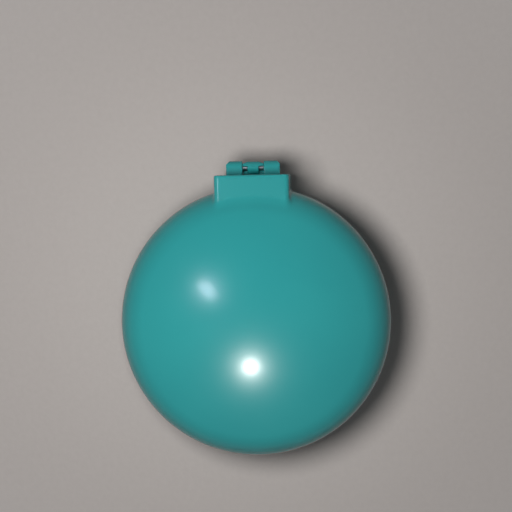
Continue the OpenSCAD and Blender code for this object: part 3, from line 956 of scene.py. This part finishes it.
# %% Dust
dust_inputs = {"Spacing": "Float", "Size": "Float", "Share": "Float"}
dust, given, result = node_group("dust", dust_inputs, {"Mask": "Float"})
point = cells(dust, given["Spacing"])
speck = worked(dust, "LESS_THAN", point["Distance"], given["Size"])
chance = add(dust, "ShaderNodeSeparateColor", {"Color": point["Color"]}).outputs[0]
chosen = worked(dust, "LESS_THAN", chance, given["Share"])
fill(dust, result, {"Mask": worked(dust, "MULTIPLY", speck, chosen)})
print("dust has", len(dust.nodes), "nodes")

# %% [markdown]
# ## Plastics
#
# The teal case is glossy plastic with a narrow bright reflection inside a wider soft one, as the two
# highlights show on the dome. One lobe can't give both, so a thin coat with low roughness lies over a
# satin base. The rings and the button come from the same resin but from satin faces of the mould. The
# black parts are the same effect with other values: the carrier, the nylon pins and the rubber. The
# dome's roughness stays under 0.27 all over: the renderer's noise filter changes over near that value,
# and a roughness that crosses it shows as faint lines on a smooth curve. The steel stays above it.


# %% Plastics
def bare_material(name):
    """New material: its tree and its shader."""
    material = bpy.data.materials.new(name)
    material.use_nodes = True
    return material, material.node_tree, material.node_tree.nodes["Principled BSDF"]


def plastic(name, colour, clouded, roughness, dulled, grain, depth, specks, sockets):
    """Moulded plastic: skin and dust groups drive colour, roughness and a fine bump."""
    material, tree, shader = bare_material(name)
    skin = placed(tree, moulded_skin, {"Colour": (*colour, 1), "Clouded": (*clouded, 1),
                                       "Roughness": roughness, "Dulled": dulled, "Grain": grain})
    lint = placed(tree, dust, {"Spacing": 330, "Size": 0.04, "Share": specks})["Mask"]
    lint_colour = tuple(0.6 * channel + 0.12 for channel in clouded) + (1,)
    fill(tree, shader, {"Base Color": mixed(tree, lint, skin["Colour"], lint_colour),
                        "Roughness": skin["Roughness"],
                        "Normal": bumped(tree, skin["Height"], 0.3, depth), **sockets})
    return material


gloss = {"Coat Weight": 0.2, "Coat Roughness": 0.13, "Specular IOR Level": 0.32}
satin = {"Coat Weight": 0.12, "Coat Roughness": 0.2}
matt = {"Specular IOR Level": 0.4}
teal_gloss = plastic("teal_gloss", (0.018, 0.281, 0.293), (0.020, 0.293, 0.303), roughness=0.25,
                     dulled=0.02, grain=5200, depth=0.00002, specks=0.03, sockets=gloss)
teal_satin = plastic("teal_satin", (0.017, 0.275, 0.287), (0.019, 0.289, 0.299), roughness=0.34,
                     dulled=0.06, grain=4200, depth=0.00005, specks=0.03, sockets=satin)
teal_thumb = plastic("teal_thumb", (0.017, 0.277, 0.289), (0.019, 0.291, 0.301), roughness=0.30,
                     dulled=0.08, grain=4600, depth=0.00003, specks=0.04, sockets=satin)
black_dish = plastic("black_dish", (0.016, 0.016, 0.017), (0.022, 0.022, 0.023), roughness=0.42,
                     dulled=0.08, grain=3600, depth=0.00006, specks=0.10, sockets=matt)
black_pins = plastic("black_pins", (0.014, 0.014, 0.015), (0.020, 0.020, 0.021), roughness=0.30,
                     dulled=0.08, grain=5200, depth=0.00003, specks=0.06, sockets=matt)
black_pad = plastic("black_pad", (0.017, 0.017, 0.018), (0.026, 0.026, 0.026), roughness=0.50,
                    dulled=0.12, grain=2600, depth=0.00010, specks=0.16, sockets=matt)
print("six plastics from", teal_gloss.name, "to", black_pad.name)

# %% [markdown]
# ## Steel
#
# The hinge pin is cut from drawn wire, whose fine lines run along it. Clouds become lines when the
# coordinates are squeezed across the wire and left long along it.

# %% Steel
steel, tree, shader = bare_material("drawn_steel")
squeezed = add(tree, "ShaderNodeMapping", {"Vector": own_place(tree), "Scale": (0.04, 1, 1)}).outputs[0]
lines = clouds(tree, 9000, 2, place=squeezed)
tone = mixed(tree, ranged(tree, lines, 0.35, 0.65), (0.50, 0.50, 0.51, 1), (0.70, 0.70, 0.71, 1))
fill(tree, shader, {"Base Color": tone, "Roughness": ranged(tree, lines, 0.3, 0.7, 0.29, 0.42),
                    "Normal": bumped(tree, lines, 0.3, 0.00002), "Metallic": 1.0})
print(steel.name, "has", len(tree.nodes), "nodes")

# %% [markdown]
# ## Glass, silver and foam
#
# Clear glass with a touch of green, over a silver film that is almost a perfect mirror. One mirror
# material on a disc would lose the bevel's bright ring. The glass keeps a plain transmission, and only
# its roughness has faint smudges. The film has a slight mottle. The foam behind them is cell noise.

# %% Glass, silver and foam
clear_glass, tree, shader = bare_material("clear_glass")
smudge = ranged(tree, clouds(tree, 75, 4, 1.2), 0.55, 0.75, 0.0, 0.03)
fill(tree, shader, {"Base Color": (0.95, 0.985, 0.972, 1), "Roughness": smudge,
                    "Transmission Weight": 1.0, "IOR": 1.5})

silver, tree, shader = bare_material("silver")
mottle = clouds(tree, 900, 3)
tone = mixed(tree, mottle, (0.88, 0.89, 0.895, 1), (0.93, 0.935, 0.94, 1))
fill(tree, shader, {"Base Color": tone, "Roughness": ranged(tree, mottle, 0.3, 0.7, 0.01, 0.025),
                    "Metallic": 1.0})

foam, tree, shader = bare_material("closed_foam")
bubbles = cells(tree, 3500.0)["Distance"]
tone = mixed(tree, bubbles, (0.03, 0.03, 0.03, 1), (0.075, 0.075, 0.073, 1))
fill(tree, shader, {"Base Color": tone, "Roughness": 0.9, "Normal": bumped(tree, bubbles, 0.5, 0.0001)})
print(clear_glass.name, "over", silver.name, "over", foam.name)

# %% [markdown]
# ## Floor and surroundings
#
# The floor is plain pale paper with a faint fibre, so that it gives a soft shadow and a quiet
# reflection in the rim. The surroundings are an even grey. Both look paler to the camera, to
# reflections and through glass than they light the object, which keeps the rim of the dome as deep
# in colour as on the photograph. More light would keep the paper pale further out as well, but it
# would fall on the case too. So the paper glows a little by itself there, and only where it is seen.


# %% Floor and surroundings
def seen(tree):
    """1 for a ray from the camera, even by a reflection or glass, and 0 for one that only lights."""
    rays = add(tree, "ShaderNodeLightPath").outputs
    glossy = worked(tree, "MAXIMUM", rays["Is Camera Ray"], rays["Is Glossy Ray"])
    return worked(tree, "MAXIMUM", glossy, rays["Is Transmission Ray"])


floor_half = 3.0
glow_from, glow_full = 0.055, 0.24
floor_mesh = bpy.data.meshes.new("floor")
sides = np.array([(-1, -1, 0), (1, -1, 0), (1, 1, 0), (-1, 1, 0)]) * floor_half
floor_mesh.from_pydata(sides.tolist(), [], [(0, 1, 2, 3)])
floor = bpy.data.objects.new("floor", floor_mesh)
bpy.context.scene.collection.objects.link(floor)
paper, tree, shader = bare_material("pale_paper")
fibre = clouds(tree, 700, 4, 0.5)
tone = mixed(tree, fibre, (0.50, 0.466, 0.45, 1), (0.545, 0.51, 0.493, 1))
away = add(tree, "ShaderNodeVectorMath", {0: own_place(tree)}, operation="LENGTH").outputs["Value"]
lift = worked(tree, "MULTIPLY", ranged(tree, away, glow_from, glow_full), seen(tree))
fill(tree, shader, {"Base Color": mixed(tree, seen(tree), (0.2, 0.19, 0.185, 1), tone),
                    "Emission Color": mixed(tree, lift, (0, 0, 0, 1), (0.36, 0.348, 0.343, 1)),
                    "Normal": bumped(tree, fibre, 0.15, 0.0002), "Roughness": 0.85,
                    "Specular IOR Level": 0.2, "Emission Strength": 1.0})
floor.data.materials.append(paper)

fill_light, seen_light = 0.105, 0.28
world = bpy.data.worlds.new("studio")
world.use_nodes = True
tree = world.node_tree
strength = worked(tree, "MULTIPLY_ADD", seen(tree), seen_light, fill_light)
fill(tree, tree.nodes["Background"], {"Color": (0.98, 0.98, 1, 1), "Strength": strength})
bpy.context.scene.world = world
bpy.context.scene.view_settings.view_transform = "Standard"
print("surroundings light at", fill_light, "and are seen at", round(fill_light + seen_light, 3))

# %% [markdown]
# ## Lamps
#
# On the photograph the dome is brightest in the middle and fades evenly towards its rim. A far lamp
# gives one bright side instead, so the key lamp is a small soft one 17 cm from the middle of the case,
# above it and a little to the left and the back. It stays out of reflections. Two more lamps show in
# reflections only, for the two highlights: a cool oval one and a bright round one. Each stands where a
# ray from the camera goes after it is mirrored at the highlight's place. The camera sees none of them.


# %% Lamps
def lamp(name, toward, away, size, power, colour, height=None, turn=0.0):
    """Round or oval lamp, so far away from the case in the direction toward, aimed at it and turned."""
    data = bpy.data.lights.new(name, "AREA")
    data.shape = "ELLIPSE"
    data.size = size
    data.size_y = height or size
    data.energy = power
    data.color = colour
    piece = bpy.data.objects.new(name, data)
    direction = Vector(toward).normalized()
    spot = Vector((0, axis_y * MM, seam * MM)) + direction * away
    aimed = direction.to_track_quat("Z", "Y").to_matrix().to_4x4()
    piece.matrix_world = Matrix.Translation(spot) @ aimed @ Matrix.Rotation(np.radians(turn), 4, "Z")
    piece.visible_camera = False
    bpy.context.scene.collection.objects.link(piece)
    return piece


key = lamp("key", (-0.14, 0.13, 1), away=0.17, size=0.06, power=0.253, colour=(1, 0.985, 0.965))
key.visible_glossy = False
key.data.cycles.use_multiple_importance_sampling = False
window = lamp("window", (-0.396, 0.164, 1), away=0.192, size=0.0152, power=0.052,
              colour=(0.77, 0.81, 1), height=0.029, turn=155)
bulb = lamp("bulb", (-0.084, -0.406, 1), away=1.2, size=0.105, power=5.8, colour=(1, 0.99, 0.96))
window.visible_diffuse = False
bulb.visible_diffuse = False
print("lamps:", [piece.name for piece in (key, window, bulb)])

# %% [markdown]
# ## Dressing the frame
#
# Every new piece gets the finish of the record's material slot that it stands for and rides on its
# body, and the node that it stands for is hidden. The slots and the bodies are in the record that
# comes with the frame. The nodes get a finish too, although new pieces stand for all of them.

# %% Dressing the frame
finish = {"teal_shell": teal_gloss, "teal_ring": teal_satin, "teal_button": teal_thumb,
          "pin_steel": steel, "clear_glass": clear_glass, "silvering": silver, "foam_tape": foam,
          "black_plastic": black_dish, "black_nylon": black_pins, "black_rubber": black_pad}
body_of = {node: body for body, held in frame["record"]["behaviour"]["bodies"].items() for node in held}
slot_of = {row["node"]: row["material_slot"] for row in frame["record"]["subparts"]}
for name, node in nodes.items():
    node.data.materials.clear()
    node.data.materials.append(finish[slot_of[name]])
stands_for = {lid_shell: "lid_cover", outer_knuckles: "lid_cover", base_shell: "base_cover",
              middle_knuckle: "base_cover", steel_pin: "hinge_pin", glass_plate: "mirror_glass",
              silver_film: "mirror_silvering", foam_disc: "mirror_tape", mirror_ring: "lid_frame",
              catch: "lid_frame", brush_ring: "base_frame", push_button: "push_button",
              carrier: "brush_carrier", brush_pins: "brush_pins", cushion: "brush_cushion"}
for piece, node in stands_for.items():
    piece.data.materials.append(finish[slot_of[node]])
    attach(piece, body_of[node])
    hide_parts(node)
print(len(stands_for), "pieces stand for", len(nodes), "nodes")
